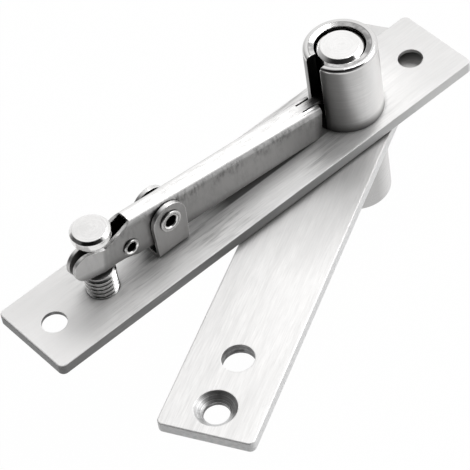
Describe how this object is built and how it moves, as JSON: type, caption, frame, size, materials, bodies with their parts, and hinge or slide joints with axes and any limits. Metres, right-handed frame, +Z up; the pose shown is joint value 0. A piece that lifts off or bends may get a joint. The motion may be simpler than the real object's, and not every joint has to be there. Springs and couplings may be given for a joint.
{
  "type": "pivot hinge",
  "caption": "Concealed pivot hinge for the top of a door: an adjusting screw and a lever draw the pin up in its sleeve, out of the socket plate that turns on it.",
  "frame": {"origin": "on the pivot axis, in the underside of the frame plate, the face that shows in the door head", "axes": "+Z up along the pivot axis into the door head, +X along the frame plate from the adjusting screw to the pin"},
  "size_m": [0.1314, 0.081, 0.0499],
  "materials": {
    "plate_steel": "long brushed grain along the plate",
    "sleeve_steel": "fine turned grain",
    "pin_steel": "fine turned and ground",
    "sheet_steel": "folded sheet, lightly mottled",
    "rivet_steel": "smooth, rolled over at the ends",
    "screw_steel": "turned",
    "bush_bronze": "plain bearing bronze"
  },
  "bodies": {
    "frame": {"frame_plate": "plate_steel", "pivot_sleeve": "sleeve_steel", "lever_bracket": "sheet_steel", "lever_rivet": "rivet_steel"},
    "lever": {"lever": "sheet_steel", "fork_rivet": "rivet_steel"},
    "pin": {"pivot_pin": "pin_steel"},
    "washer": {"fork_washer": "screw_steel"},
    "screw": {"adjusting_screw": "screw_steel"},
    "door_leaf": {"door_plate": "plate_steel", "socket_cup": "sleeve_steel", "socket_bush": "bush_bronze"}
  },
  "joints": [
    {"name": "screw_travel", "type": "slide", "parent": "frame", "child": "washer", "axis": [0, 0, -1], "range_m": [0, 0.0025]},
    {"name": "screw_turn", "type": "hinge", "parent": "washer", "child": "screw", "pos_m": [-0.0774, 0, 0], "axis": [0, 0, -1], "range_deg": [0, 720]},
    {"name": "lever_tilt", "type": "hinge", "parent": "frame", "child": "lever", "pos_m": [-0.0584, 0, 0.0133], "axis": [0, -1, 0], "range_deg": [0, 9]},
    {"name": "pin_travel", "type": "slide", "parent": "frame", "child": "pin", "axis": [0, 0, 1], "range_m": [0, 0.0083]},
    {"name": "door_swing", "type": "hinge", "parent": "frame", "child": "door_leaf", "pos_m": [0, 0, 0], "axis": [0, 0, 1], "continuous": true}
  ],
  "couplings": [
    {"joint": "screw_turn", "follows": "pin_travel", "rad_per_m": 1514},
    {"joint": "screw_travel", "follows": "pin_travel", "ratio": 0.3012},
    {"joint": "lever_tilt", "follows": "pin_travel", "rad_per_m": 18.925}
  ]
}
